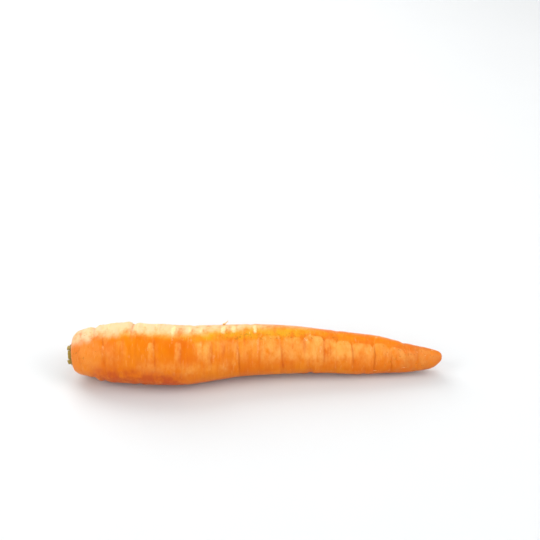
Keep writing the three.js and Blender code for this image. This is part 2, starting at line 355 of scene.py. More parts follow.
# Tints of the skin: start and end along X, lower and upper edge in degrees, how full the patch is, and how
# wide its edge fades.
TINTS = {
    # Painted light: the top painted yellower, as the glow of skin that the lamps light from above.
    "lit_top_glow": [
        (-86, -24, 66, 150, 0.75, 4),
        (-34, 6, 60, 130, 0.8, 4),
        (-2, 30, 60, 120, 1, 6),
        (24, 60, 74, 120, 0.75, 6),
    ],
    # Pale along the top of the crown half: partly a dry bloom, partly a painted highlight of the light from
    # behind.
    "bloom_and_highlight": [
        (-98, -80, 54, 150, 0.95, 2.4),
        (-86, -66, 66, 147, 1, 2.5),
        (-72, -36, 73, 145, 1, 2.5),
        (-44, -22, 76, 142, 0.95, 2.5),
        (-30, -4, 82, 140, 0.92, 2.5),
        (-12, 12, 87, 138, 0.8, 3),
        (6, 30, 95, 140, 0.72, 3),
    ],
    # Painted shade: the underside painted darker and redder, low on the sides, front and back.
    "underside_shade": [
        (-84, -34, -60, 12, 0.7, 8),
        (-66, -52, -40, -8, 0.7, 3),
        (-50, -42, -34, -6, 0.7, 3),
        (-80, -26, -100, -34, 0.95, 3),
        (-32, 22, -100, -46, 0.6, 3),
        (18, 84, -100, -34, 0.55, 3),
        (-94, -78, -60, -28, 0.5, 3),
        (-46, 6, 206, 266, 0.56, 5),
        (40, 76, 190, 240, 0.5, 5),
    ],
    "speck": [(-20, 50, 52, 92, 1, 3), (60, 97, -20, 100, 0.9, 3), (-94, -76, 0, 150, 0.9, 3)],
}
# How many times wider than its ends a patch fades at its lower and upper edge, and the widest that it may.
FADES = {"film_and_sheen": (14, 1), "lit_top_glow": (1.5, 2), "bloom_and_highlight": (2.6, 2.6), "underside_shade": (1, 1), "speck": (1, 1)}
WIDEST_FADE = 12
CORNER = 3  # how far a patch's upper corners are rounded off, or else a third of its length
EDGE_SHARP = 3  # how sharply two of a patch's edges meet
EDGE_REACH = 3  # an edge counts as no further off than this many fades
EDGE_FADE = (-0.5, 0.9)  # a patch is nothing this many fades outside its edge, and full this many inside
SCAB_RADII = (6.3, 7.7)  # the corky rim is full as far out as the first radius, and ends at the second
SCAB_TIP = (94.2, 95)  # the corky end of the tail, along X from nothing to full
DULL_SHOULDER = (-58, -88)
# Towards the tip the skin is duller and darker: partly its own colour, partly painted shade.
DULL_TAIL = (50, 92)

# ---------------------------------------------------------------- the studio

FLOOR_RADIUS = 850  # a round table top, which ends before its light falls off
FLOOR_SIDES = 96
FLOOR_DROP = 0.02  # below the carrot, so that the two don't share a plane
CAMERA_AIM = (7.3, 24.6, 48.5)
SENSOR_WIDTH = 36
WALLS_END = (0.12, 0.42)  # the sine of the height over the horizon where the walls end and the ceiling starts

# Soft boxes: name, place, what it points at, width and height, and how bright its face is.
LIGHTS = [
    ("front", (0, -1000, 480), (0, 0, 480), (3000, 950), 0.96),
    ("behind_left", (-400, 620, 600), (-60, 0, 12), (820, 760), 4.4),
    ("above", (300, 120, 800), (30, 0, 12), (900, 700), 1.6),
    ("side_left", (-820, -340, 680), (0, 0, 12), (600, 700), 4.5),
    ("side_right", (820, -340, 680), (0, 0, 12), (600, 700), 4.5),
]


# ---------------------------------------------------------------- small helpers


def linear(code):
    """An sRGB hex colour as linear red, green, blue and a full alpha."""
    parts = [int(code[n : n + 2], 16) / 255 for n in (0, 2, 4)]
    return (*(p / 12.92 if p <= 0.04045 else ((p + 0.055) / 1.055) ** 2.4 for p in parts), 1.0)


def bell(distance, width):
    return np.exp(-((distance / width) ** 2))


def smoothstep(value, low, high):
    share = np.clip((value - low) / (high - low), 0, 1)
    return share * share * (3 - 2 * share)


def wandering(off, turn, place, waves):
    """How far along from a line across the root that wanders in waves: (how far, how many to a turn)."""
    for n, (size, count) in enumerate(waves, 1):
        off = off + size * np.sin(count * turn + n * place)
    return off


def turn_between(a, b):
    """The angle from b to a, the short way round, in radians."""
    return np.arctan2(np.sin(a - b), np.cos(a - b))


def catmull_rom(points, at):
    """Places on the smooth curve through the points; at counts from 0 at the first to 1 at the last."""
    knots = np.asarray(points, float)
    knots = np.vstack([2 * knots[0] - knots[1], knots, 2 * knots[-1] - knots[-2]])
    spans = len(points) - 1
    place = np.clip(np.asarray(at, float), 0, 1) * spans
    first = np.minimum(place.astype(int), spans - 1)
    t = (place - first)[..., None]
    a, b, c, d = (knots[first + n] for n in range(4))
    return 0.5 * (2 * b + (c - a) * t + (2 * a - 5 * b + 4 * c - d) * t**2 + (3 * b - a - 3 * c + d) * t**3)


def evenly(points, gap):
    """The smooth curve through the points, resampled to steps of about gap."""
    fine = catmull_rom(points, np.linspace(0, 1, FINE_STEPS * len(points)))
    length = np.concatenate([[0], np.cumsum(np.linalg.norm(np.diff(fine, axis=0), axis=1))])
    steps = np.linspace(0, length[-1], max(2, round(length[-1] / gap) + 1))
    return np.stack([np.interp(steps, length, fine[:, n]) for n in range(fine.shape[1])], axis=1)


class Form:
    """A piece's vertices in millimetres, its faces, and what each vertex is marked with for its material."""

    def __init__(self, *marks):
        self.points = []
        self.faces = []
        self.marks = {mark: [] for mark in marks}

    def add(self, rows, capped=False, **marks):
        """Adds a grid of points, rows by columns, whose rows close on themselves. capped fills the first and
        last rows."""
        count, across = rows.shape[:2]
        start = sum(len(points) for points in self.points)
        index = start + np.arange(count * across).reshape(count, across)
        ahead = np.roll(index, -1, axis=1)
        below, above = index[:-1], index[1:]
        quads = np.stack([below, ahead[:-1], ahead[1:], above], axis=-1)
        self.faces.extend(quads.reshape(-1, 4).tolist())
        if capped:
            self.faces.extend([index[0][::-1].tolist(), index[-1].tolist()])
        self.points.append(rows.reshape(-1, 3))
        for mark, values in self.marks.items():
            values.append(np.broadcast_to(marks.get(mark, 0.0), (count, across)).reshape(-1))

    def build(self, name, material, place=Matrix()):
        mesh = bpy.data.meshes.new(name)
        mesh.from_pydata(np.concatenate(self.points).tolist(), [], self.faces)
        for mark, values in self.marks.items():
            layer = mesh.attributes.new(mark, "FLOAT", "POINT")
            layer.data.foreach_set("value", np.concatenate(values).astype(np.float32))
        mesh.transform(Matrix.Scale(MM, 4) @ place)
        mesh.shade_smooth()
        mesh.materials.append(material)
        piece = bpy.data.objects.new(name, mesh)
        bpy.context.scene.collection.objects.link(piece)
        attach(piece, "root")
        return piece


def ring(turn, radius, height):
    """Points round the crown's axis."""
    return np.stack([radius * np.cos(turn), radius * np.sin(turn), height + 0 * turn], axis=-1)


def tube(line, size, sides=8):
    """A grid of points round a line, at the distances that size gives."""
    along = np.gradient(line, axis=0)
    along /= np.linalg.norm(along, axis=1, keepdims=True)
    side = np.cross(along, ASIDE)
    side /= np.linalg.norm(side, axis=1, keepdims=True)
    over = np.cross(side, along)
    turn = np.linspace(0, 2 * math.pi, sides, endpoint=False)[None, :, None]
    return line[:, None] + size[:, None, None] * (np.cos(turn) * side[:, None] + np.sin(turn) * over[:, None])


def crown_frame():
    """From the crown's own frame to the carrot's: Z becomes the way out of the crown, and X the way up."""
    turned = Matrix.Rotation(-math.pi / 2 - math.atan(CROWN_TILT), 4, "Y")
    return Matrix.Translation(CROWN_PLACE) @ turned


# ---------------------------------------------------------------- the skin's relief


def middle_at(x):
    return catmull_rom(MIDDLE, (x - MIDDLE_START) / (MIDDLE_STEP * (len(MIDDLE) - 1)))


def arc_fade(turn, half):
    """1 in the middle of an arc and 0 at its ends and beyond."""
    return np.cos(np.minimum(np.abs(turn) / half, 1) * math.pi / 2)


class Skin:
    """The skin's relief over a grid of places on the root, and the marks that its material reads."""

    MARKS = ("crease_shade", "shade_line", "scar", "scab", "film_and_sheen", "shoulder", "tail", *TINTS)

    def __init__(self, x, radius, angle, settings):
        self.x = x
        self.radius = radius
        self.angle = angle
        self.random = np.random.default_rng(settings.seed)
        self.relief = np.zeros_like(x)
        self.marks = {mark: np.zeros_like(x) for mark in self.MARKS}
        self.creases(settings.crease_share)
        self.segments(settings.bulge_share)
        self.wrinkles(settings.wrinkles, settings.wrinkle_depth / MM)
        self.dents()
        self.scars(settings.faint_scars)
        for mark, patches in TINTS.items():
            for patch in patches:
                self.tint(mark, *patch)
        rim = (x < 0) * (1 - smoothstep(radius, *SCAB_RADII))
        self.marks["scab"] += np.maximum(rim, smoothstep(x, *SCAB_TIP))
        self.marks["shoulder"] += smoothstep(x, *DULL_SHOULDER)
        # Duller and darker towards the tip, partly as painted shade.
        self.marks["tail"] += smoothstep(x, *DULL_TAIL)

    def draw(self, ranges):
        """Values drawn evenly from ranges, in their order."""
        return [self.random.uniform(*each) for each in ranges.values()]

    def across(self, place, middle, half, slant, reach):
        """The rows near a place, and for each point how far round it is from the middle of a line across the
        root there, how far along from the line, and how strong the line still is."""
        rows = np.abs(self.x[:, 0] - place) < reach + abs(slant) * 2  # 2 quarter turns at the most
        turn = turn_between(self.angle[rows], math.radians(middle))
        off = self.x[rows] - place - slant * turn / (math.pi / 2)
        return rows, turn, off, arc_fade(turn, math.radians(half))

    def lens(self, place, reach, middle, half):
        """The rows near a place, and a smooth rounded patch on them that is 1 in its middle."""
        rows, turn, off, _ = self.across(place, middle, half, 0, reach)
        return rows, np.clip(1 - (off / reach) ** 2 - (turn / math.radians(half)) ** 2, 0, 1)

    def tint(self, mark, start, end, low, high, full, soft):
        """Marks a patch with rounded corners: full well inside it, and fading to nothing over its edges."""
        turn = turn_between(self.angle, math.radians((low + high) / 2))
        half = math.radians((high - low) / 2)
        from_end = np.minimum(self.x - start, end - self.x)
        corner = min(CORNER, (end - start) / 3)
        bow = corner * np.clip(1 - from_end / corner, 0, 1) ** 2
        low_fade, high_fade = (min(soft * wider, WIDEST_FADE) for wider in FADES[mark])
        to_low = (half + turn) * self.radius / low_fade
        to_high = ((half - turn) * self.radius - bow) / high_fade
        sides = [np.clip(to, -EDGE_REACH, EDGE_REACH) for to in (to_low, to_high, from_end / soft)]
        inside = -np.log(sum(np.exp(-EDGE_SHARP * side) for side in sides)) / EDGE_SHARP
        self.marks[mark] = np.maximum(self.marks[mark], full * smoothstep(inside, *EDGE_FADE))

    def creases(self, share):
        for place, middle, half, depth, slant, split in CREASES:
            rows, turn, off, fade = self.across(place, middle, half, slant, CREASE_REACH)
            lips = bell(off - LIP_AT, LIP_WIDTH) + bell(off + LIP_AT, LIP_WIDTH)
            self.relief[rows] += share * depth * fade * (LIP_SHARE * lips - bell(off, CREASE_WIDTH))
            near = bell(wandering(off, turn, place, CREASE_WANDER), CLEFT_WIDTH)
            cleft = split * fade**0.5 * near
            self.relief[rows] -= CLEFT_DEPTH * share * cleft
            # Painted shade: the crease's bottom is darkened, and a painted shade line runs along its cleft.
            crease_bottom_shade = fade * bell(off, CREASE_WIDTH * CREASE_SHADE_WIDTH)
            self.marks["crease_shade"][rows] += crease_bottom_shade * min(depth * CREASE_SHADE_SHARE, CREASE_SHADE_MOST)
            self.marks["shade_line"][rows] += cleft

    def segments(self, share):
        chosen = list(SEGMENTS)
        for _ in range(BACK_SEGMENTS):
            start, low, along, arc, height, film_and_sheen = self.draw(BACK_SEGMENT)
            chosen.append((start, start + along, low, low + arc, height, film_and_sheen, BACK_FADE))
        for start, end, low, high, height, film_and_sheen, soft in chosen:
            rows, lens = self.lens((start + end) / 2, (end - start) / 2, (low + high) / 2, (high - low) / 2)
            self.relief[rows] += share * height * lens**0.85
            self.tint("film_and_sheen", start - FILM_OVERLAP, end + FILM_OVERLAP, low, high, film_and_sheen, soft)

    def wrinkles(self, count, depth):
        for _ in range(count):
            place, middle, half = self.draw(WRINKLE)
            slant = self.random.normal(0, WRINKLE_SLANT)
            width = self.random.uniform(*WRINKLE_WIDTH)
            rows, turn, off, fade = self.across(place, middle, half, slant, WRINKLE_REACH)
            sign = -1 if self.random.random() < SUNKEN else RAISED
            near = bell(wandering(off, turn, place, WRINKLE_WANDER), width)
            shape = self.random.uniform(*WRINKLE_SHARE) * fade * near
            deeper = 1 + NECK_DEEPER * smoothstep(place, *NECK)
            self.relief[rows] += sign * deeper * depth * shape
            # Painted shade in the bottom of a sunken wrinkle.
            self.marks["crease_shade"][rows] += max(-sign, 0) * WRINKLE_SHADE * shape

    def dents(self):
        for _ in range(DENTS):
            place, middle, width, half, depth = self.draw(DENT)
            rows, _, off, fade = self.across(place, middle, half, 0, DENT_REACH)
            self.relief[rows] += depth * fade**2 * bell(off, width)

    def scars(self, faint):
        chosen = list(SCARS)
        for _ in range(faint):
            place, middle, half, width, paleness = self.draw(FAINT_SCAR)
            chosen.append((place, middle, half, width, FAINT_SCAR_HEIGHT, paleness))
        dark, aside, thin = SCAR_SHADE_LINE
        for place, middle, half, width, height, paleness in chosen:
            rows, turn, off, fade = self.across(place, middle, half, 0, SCAR_REACH)
            from_line = wandering(off, turn, place, SCAR_WANDER)
            shape = fade**0.8 * bell(from_line, width)
            self.relief[rows] += height * shape
            self.marks["scar"][rows] += paleness * shape
            # Painted shade: a dark line on one side of the raised scar.
            self.marks["shade_line"][rows] += dark * paleness * fade * bell(from_line - width * aside, thin)


def root_places(settings):
    """The grid of places on the root before its relief: along X, radius and angle."""
    gap = settings.ring_gap / MM
    stretches = [evenly(HOLLOW, HOLLOW_GAP), evenly(SHOULDER, gap)[1:], evenly(BODY, gap)[1:]]
    outline = np.vstack(stretches)
    angle = np.arange(settings.sides) * 2 * math.pi / settings.sides
    x = np.repeat(outline[:, :1], settings.sides, axis=1)
    radius = np.repeat(outline[:, 1:], settings.sides, axis=1)
    return x, radius, np.repeat(angle[None, :], len(outline), axis=0)


def on_root(x, radius, angle, relief):
    """Points in space for places on the root."""
    share = smoothstep(x, CROWN_X, RELIEF_FROM) * (1 - smoothstep(x, RELIEF_TO, TIP_X))
    lobes = 0
    for count, size, first, drift in LOBES:
        lobes = lobes + size * np.cos(count * (angle - np.radians(first + drift * x)))
    left = np.maximum(share, END_RELIEF * smoothstep(radius, *END_RADII))
    out = radius * (1 + share * lobes) + left * relief
    up = out * np.sin(angle)
    lean = CROWN_TILT * up * (1 - smoothstep(x, CROWN_X, CROWN_X + CROWN_REACH))
    crown = (x < 0) * (1 - smoothstep(radius, *CROWN_SHIFT_RADII))
    middle = middle_at(x) + crown[..., None] * CROWN_SHIFT
    lift = TIP_LIFT * smoothstep(x, TIP_LIFT_FROM, TIP_X)
    height = np.maximum(middle[..., 1] + lift + up, 0)
    return np.stack([x - lean, middle[..., 0] - out * np.cos(angle), height], axis=-1)


# ---------------------------------------------------------------- materials

# Patterns in the skin: size in mm, how they are squeezed along X, Y and Z, detail, and roughness. One that is
# squeezed less round the root than along it runs across the root, as a carrot's rings of pores do.
SKIN_PATTERNS = {
    "mottle": (11, (0.8, 1, 1), 2, 0.5),
    "rings": (2.2, (1, 0.12, 0.12), 3, 0.5),
    "cloud": (3.6, (1, 0.7, 0.7), 5, 0.6),
    "streaks": (2.4, (1, 0.35, 0.35), 5, 0.65),
    "dashes": (0.9, (1, 0.22, 0.22), 2, 0.5),
    "grit": (0.8, (1, 1, 1), 2, 0.5),
    "pits": (1.3, (1, 1, 1), 3, 0.5),
    "grain": (0.8, (1, 0.3, 0.3), 5, 0.65),
    "pores": (0.4, (1, 1, 1), 2, 0.5),
}

# What lies on the clean skin, from the lowest up: colour, how much it covers, how rough it makes the skin,
# the mark where it lies (None for all over), the pattern that breaks it up and by how much, and from what
# level of mark and pattern it starts and is full.
SKIN_LAYERS = [
    ("skin_light", 1, 0.0, None, "mottle", 2, 0.35, 0.65),
    ("deep_skin_and_shade", 0.22, 0.0, None, "rings", 2, 0.42, 0.66),
    # Painted light: the top painted yellower where it is lit.
    ("lit_top_glow", 0.8, 0.1, "lit_top_glow", "cloud", 3, 0.1, 1.0),
    # Partly the tip's own duller colour, partly painted shade.
    ("tail", 0.8, 0.4, "tail", "cloud", 4, 0.1, 1.1),
    # Partly a pale dried film, partly a painted sheen on the crests that fades downwards.
    ("film_and_sheen", 0.75, 0.4, "film_and_sheen", "cloud", 3, 0.1, 1.2),
    ("film_and_sheen", 0.12, 0.3, None, "streaks", 2, 0.52, 0.7),
    ("skin", 0.26, 0.0, "film_and_sheen", "streaks", 6, 0.7, 1.5),
    ("shoulder", 0.45, 0.5, "shoulder", "cloud", 4, 0.1, 1.2),
    # Partly a dry bloom, partly a painted highlight along the top of the crown half.
    ("bloom_and_highlight", 0.8, 0.7, "bloom_and_highlight", "cloud", 2.4, 0.1, 1.2),
    ("scar", 0.08, 0.6, None, "dashes", 2, 0.6, 0.72),
    # Painted shade: darker and redder low on the sides.
    ("underside_shade", 0.7, 0.3, "underside_shade", "cloud", 4, 0.1, 0.9),
    # Painted shade in the creases and sunken wrinkles.
    ("deep_skin_and_shade", 0.8, 0.2, "crease_shade", "grit", 0.5, 0.05, 0.9),
    ("scar", 0.9, 0.8, "scar", "grit", 2, 0.1, 1),
    # Painted shade lines in the clefts and beside the scars.
    ("shade_line", 0.5, 0.3, "shade_line", "streaks", 3, 0.1, 0.9),
    ("scab", 0.95, 0.9, "scab", "cloud", 4, 0.15, 0.9),
    ("speck", 0.4, 0.3, "speck", "pits", 4, 1.3, 1.6),
]
ALL_OVER = 0.5  # the mark's level where a layer has none
DRIEST = 0.75  # roughness of skin that is all dried film or scab
SKIN_BUMPS = {"rings": 0.9, "grain": 0.8, "pores": 0.3}

# Sockets of a Mix node, which has several of one name: its factor, and for numbers and for colours the two
# that it mixes and the result.
FACTOR = 0
NUMBER_A, NUMBER_B, NUMBER = 2, 3, 0
COLOUR_A, COLOUR_B, COLOUR = 6, 7, 2


def add(tree, kind, inputs=None, **settings):
    """Adds a node. settings are its own properties; inputs are its sockets' values or the sockets to link."""
    made = tree.nodes.new(kind)
    for name, value in settings.items():
        setattr(made, name, value)
    for name, value in (inputs or {}).items():
        socket = made.inputs[name]
        if isinstance(value, bpy.types.NodeSocket):
            tree.links.new(value, socket)
        else:
            socket.default_value = value
    return made


def new_material(name):
    """An empty material, its nodes, and the place on the piece that its patterns are laid by."""
    material = bpy.data.materials.new(name)
    material.use_nodes = True
    tree = material.node_tree
    tree.nodes.clear()
    return material, tree, add(tree, "ShaderNodeTexCoord").outputs["Object"]


def two_tone(tree, place, size, detail, squeeze, dark, light):
    """A blotchy pattern, size millimetres from one blotch to the next. Squeezed along X to less than 1, it
    becomes fibres that run that way. Gives its level, and its colour from dark at level 0 to light at 1."""
    drawn = add(tree, "ShaderNodeMapping", {"Vector": place, "Scale": (squeeze, 1, 1)}).outputs["Vector"]
    inputs = {"Vector": drawn, "Scale": 1 / (size * MM), "Detail": detail}
    pattern = add(tree, "ShaderNodeTexNoise", inputs).outputs["Fac"]
    inputs = {FACTOR: pattern, COLOUR_A: dark, COLOUR_B: light}
    return pattern, add(tree, "ShaderNodeMix", inputs, data_type="RGBA").outputs[COLOUR]


def surface(tree, tint, height, relief, strength, inputs):
    """Ends a material: its colour, a fine relief so many millimetres high, and what else its surface has."""
    bump = add(tree, "ShaderNodeBump", {"Height": height, "Distance": relief * MM, "Strength": strength})
    inputs = {"Base Color": tint, "Normal": bump.outputs["Normal"], **inputs}
    shader = add(tree, "ShaderNodeBsdfPrincipled", inputs)
    add(tree, "ShaderNodeOutputMaterial", {"Surface": shader.outputs["BSDF"]})


def skin_material(settings):
    """Washed carrot skin: a thin, waxy, slightly translucent rind. It looks wet-smooth between the creases,
    dry and pale on the swellings and scars, and its sheen spreads softly over the crests. Part of its colour
    is painted
    light: a painted sheen on the swellings, a painted highlight in the pale band along the top, the top
    painted yellower, glints painted on the top scars, painted shade in the creases, wrinkles and beside the
    scars, and the underside and part of the tail painted darker."""
    material, tree, place = new_material("washed_carrot_skin")
    patterns = {}
    for name, (size, squeeze, detail, rough) in SKIN_PATTERNS.items():
        squeezed = add(tree, "ShaderNodeMapping", {"Vector": place, "Scale": squeeze}).outputs["Vector"]
        inputs = {"Vector": squeezed, "Scale": 1 / (size * MM), "Detail": detail, "Roughness": rough}
        patterns[name] = add(tree, "ShaderNodeTexNoise", inputs).outputs["Fac"]

    tint, roughness = settings.skin, settings.roughness
    for name, cover, dry, mark, pattern, spread, start, full in SKIN_LAYERS:
        marked = ALL_OVER
        if mark:
            marked = add(tree, "ShaderNodeAttribute", attribute_name=mark).outputs["Fac"]
        inputs = {0: patterns[pattern], 1: spread, 2: 1 - spread / 2}
        broken = add(tree, "ShaderNodeMath", inputs, operation="MULTIPLY_ADD").outputs["Value"]
        level = add(tree, "ShaderNodeMath", {0: broken, 1: marked}, operation="MULTIPLY").outputs["Value"]
        inputs = {"Value": level, "From Min": start, "From Max": full, "To Max": cover}
        share = add(tree, "ShaderNodeMapRange", inputs, interpolation_type="SMOOTHSTEP").outputs["Result"]
        inputs = {FACTOR: share, COLOUR_A: tint, COLOUR_B: getattr(settings, name)}
        tint = add(tree, "ShaderNodeMix", inputs, data_type="RGBA").outputs[COLOUR]
        if dry:
            dried = settings.roughness + (DRIEST - settings.roughness) * dry
            inputs = {FACTOR: share, NUMBER_A: roughness, NUMBER_B: dried}
            roughness = add(tree, "ShaderNodeMix", inputs).outputs[NUMBER]

    height = 0.0
    for pattern, share in SKIN_BUMPS.items():
        inputs = {0: patterns[pattern], 1: share, 2: height}
        height = add(tree, "ShaderNodeMath", inputs, operation="MULTIPLY_ADD").outputs["Value"]
    inputs = {
        "Roughness": roughness,
        "IOR": 1.38,
        "Specular IOR Level": 0.2,
        "Subsurface Weight": 0.18,
        "Subsurface Radius": (1.0, 0.36, 0.1),
        "Subsurface Scale": 2.2 * MM,
    }
    surface(tree, tint, height, relief=0.15, strength=0.6, inputs=inputs)
    return material


def stalk_material(settings):
    """Cut leaf stalk: fibrous, yellow-green and satin on its sides, paler and moist on the cut, where the
    ends of its strands show as darker dots 0.7 mm apart."""
    material, tree, place = new_material("cut_leaf_stalk")
    foot = add(tree, "ShaderNodeAttribute", attribute_name="foot").outputs["Fac"]
    cut = add(tree, "ShaderNodeAttribute", attribute_name="cut").outputs["Fac"]
    shades = {"dark": settings.stalk, "light": settings.stalk_light}
    fibre, side = two_tone(tree, place, size=0.6, detail=4, squeeze=0.2, **shades)
    inputs = {FACTOR: foot, COLOUR_A: side, COLOUR_B: settings.stalk_foot}
    side = add(tree, "ShaderNodeMix", inputs, data_type="RGBA").outputs[COLOUR]
    inputs = {"Vector": place, "Scale": 1 / (0.7 * MM)}
    dots = add(tree, "ShaderNodeTexVoronoi", inputs).outputs["Distance"]
    inputs = {"Value": dots, "From Min": 0.18, "From Max": 0.34, "To Min": 1.0, "To Max": 0.0}
    strand = add(tree, "ShaderNodeMapRange", inputs, interpolation_type="SMOOTHSTEP").outputs["Result"]
    inputs = {FACTOR: strand, COLOUR_A: settings.cut_face, COLOUR_B: settings.strand}
    face = add(tree, "ShaderNodeMix", inputs, data_type="RGBA").outputs[COLOUR]
    inputs = {FACTOR: cut, COLOUR_A: side, COLOUR_B: face}
    tint = add(tree, "ShaderNodeMix", inputs, data_type="RGBA").outputs[COLOUR]
    inputs = {
        "Roughness": 0.5,
        "IOR": 1.42,
        "Subsurface Weight": 0.15,
        "Subsurface Radius": (0.5, 0.6, 0.15),
        "Subsurface Scale": 1.2 * MM,
    }
    surface(tree, tint, fibre, relief=0.1, strength=0.7, inputs=inputs)
    return material


def dried_material(settings):
    """Dried leaf base: papery, with fibres 0.5 mm apart, dull brown, and bleached at its ragged edge."""
    material, tree, place = new_material("dried_leaf_base")
    worn = add(tree, "ShaderNodeAttribute", attribute_name="edge").outputs["Fac"]
    shades = {"dark": settings.dried_dark, "light": settings.dried}
    fibre, tint = two_tone(tree, place, size=0.5, detail=5, squeeze=0.25, **shades)
    inputs = {FACTOR: worn, COLOUR_A: tint, COLOUR_B: settings.dried_edge}
    tint = add(tree, "ShaderNodeMix", inputs, data_type="RGBA").outputs[COLOUR]
    inputs = {"Roughness": 0.85, "IOR": 1.45}
    surface(tree, tint, fibre, relief=0.12, strength=0.8, inputs=inputs)
    return material


def rootlet_material(settings):
    """Dry side root: pale and straw-like, with fibres 0.8 mm apart."""
    material, tree, place = new_material("dry_side_root")
    shades = {"dark": settings.scar, "light": settings.film_and_sheen}
    fibre, tint = two_tone(tree, place, size=0.8, detail=3, squeeze=1, **shades)
    inputs = {
        "Roughness": 0.6,
        "Subsurface Weight": 0.2,
        "Subsurface Radius": (1.0, 0.7, 0.3),
        "Subsurface Scale": 0.5 * MM,
    }
    surface(tree, tint, fibre, relief=0.05, strength=0.5, inputs=inputs)
    return material


def floor_material(settings):
    """Matt white painted board: plain, with the faintest unevenness in its paint, about 50 mm across."""
    material, tree, place = new_material("matt_white_board")
    shades = {"dark": settings.floor, "light": settings.floor_shade}
    _, tint = two_tone(tree, place, size=50, detail=2, squeeze=1, **shades)
    shader = add(tree, "ShaderNodeBsdfPrincipled", {"Base Color": tint, "Roughness": 0.9})
    add(tree, "ShaderNodeOutputMaterial", {"Surface": shader.outputs["BSDF"]})
    return material


# ---------------------------------------------------------------- what a user can change


def millimetres(name, description, default):
    """A length property that is given in millimetres and kept in metres."""
    return bpy.props.FloatProperty(
        name=name, description=description, default=default * MM, unit="LENGTH", precision=5
    )


def whole(name, description, default, least=0):
    return bpy.props.IntProperty(name=name, description=description, default=default, min=least)


def factor(name, description, default):
    return bpy.props.FloatProperty(name=name, description=description, default=default, subtype="FACTOR")


def colour(name, description, code):
    return bpy.props.FloatVectorProperty(
        name=name, description=description, default=linear(code), subtype="COLOR", size=4, min=0, max=1
    )


class CarrotRootSettings(bpy.types.PropertyGroup):
    sides: whole("Facets round", "Facets round the root", 108, 24)
    ring_gap: millimetres("Ring spacing", "Spacing of the rings of facets along the root", 0.23)
    seed: whole("Seed", "Draws another skin", 11)
    crease_share: factor("Crease depth", "Depth of the creases over the usual", 1)
    bulge_share: factor("Swelling height", "Height of the swellings over the usual", 1)
    wrinkles: whole("Wrinkles", "Fine wrinkles across it", 360)
    wrinkle_depth: millimetres("Wrinkle depth", "Depth of the deepest fine wrinkle", 0.12)
    faint_scars: whole("Faint scars", "Faint scars on it", 110)
    roughness: factor("Roughness", "Of clean skin between scars", 0.34)
    skin: colour("Skin", "Clean skin", "d06a02")
    skin_light: colour("Light skin", "Lighter blotches", "d67804")
    # Deeper skin in fine rings all over, and painted shade in the creases.
    deep_skin_and_shade: colour("Deep skin", "Skin in the creases", "bc4a04")
    # Painted light: the top of the root painted yellower where it is lit.
    lit_top_glow: colour("Golden skin", "Yellower skin along the top", "ca9c12")
    # Partly dried skin, partly a painted sheen on the swellings.
    film_and_sheen: colour("Film", "Drier, paler skin on the swellings", "e2a552")
    # Partly a dry bloom, partly a painted highlight along the top.
    bloom_and_highlight: colour("Bloom", "Dry, pale film along the top", "d8c09c")
    scab: colour("Scab", "Corky rim round the stalks and end of the tail", "9a6430")
    shoulder: colour("Shoulder", "Duller skin near the crown", "d98436")
    # Partly the tip's own colour, partly painted shade.
    tail: colour("Tail", "Duller skin near the tip", "c26c26")
    # Painted shade: the underside painted darker and redder.
    underside_shade: colour("Stain", "Soil-stained skin low on its sides", "b03a12")
    scar: colour("Scar", "Corky scars", "eccb98")
    # Painted shade: the dark line in a crease's cleft or beside a scar.
    shade_line: colour("Slit", "The dark line in a crease or beside a scar", "a85008")
    speck: colour("Speck", "Small pits with soil in them", "8e5814")


class CarrotCrownSettings(bpy.types.PropertyGroup):
    seed: whole("Seed", "Draws another crown", 5)
    stalk: colour("Stalk", "Sides of the cut stalks", "8a6a12")
    stalk_light: colour("Light stalk", "Paler strands in their sides", "a8963a")
    stalk_foot: colour("Stalk foot", "Where the stalks leave the root", "7a4c0c")
    cut_face: colour("Cut", "Cut ends of the stalks", "c2bb6c")
    strand: colour("Strand", "Ends of the strands in the cut", "7d7a26")
    dried: colour("Dried base", "Dried bases of the outer leaves", "7a4a18")
    dried_dark: colour("Dark dried base", "Their darker strands", "4a2608")
    dried_edge: colour("Dried edge", "Their bleached edges", "b08a50")


class CarrotStageSettings(bpy.types.PropertyGroup):
    floor: colour("Floor", "The board that the carrot lies on", "cdd3da")
    floor_shade: colour("Floor shade", "Where its paint is a little thinner", "cbd1d8")
    elevation: bpy.props.FloatProperty(
        name="Elevation", description="Camera above the horizon", default=math.radians(34), subtype="ANGLE"
    )
    distance: millimetres("Distance", "Camera to the point that it aims at", 645.5)
    lens: bpy.props.FloatProperty(name="Lens", description="Focal length", default=85, unit="CAMERA")
    walls: factor("Walls", "Light from the pale walls all round", 0.92)
    ceiling: factor("Ceiling", "Light from the ceiling", 0.16)
    light: colour("Light", "Colour of the lamps", "fff9f1")


# ---------------------------------------------------------------- pieces


class CARROT_OT_root(bpy.types.Operator):
    """Build the root with its creases, wrinkles and scars"""

    bl_idname = "carrot.root"
    bl_label = "Root"

    def execute(self, context):
        settings = context.scene.carrot_root
        x, radius, angle = root_places(settings)
        skin = Skin(x, radius, angle, settings)
        form = Form(*skin.MARKS)
        marks = {mark: np.clip(values, 0, 1) for mark, values in skin.marks.items()}
        form.add(on_root(x, radius, angle, skin.relief), **marks)
        piece = form.build("carrot_root", skin_material(settings))
        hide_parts("root")
        return {"FINISHED"}


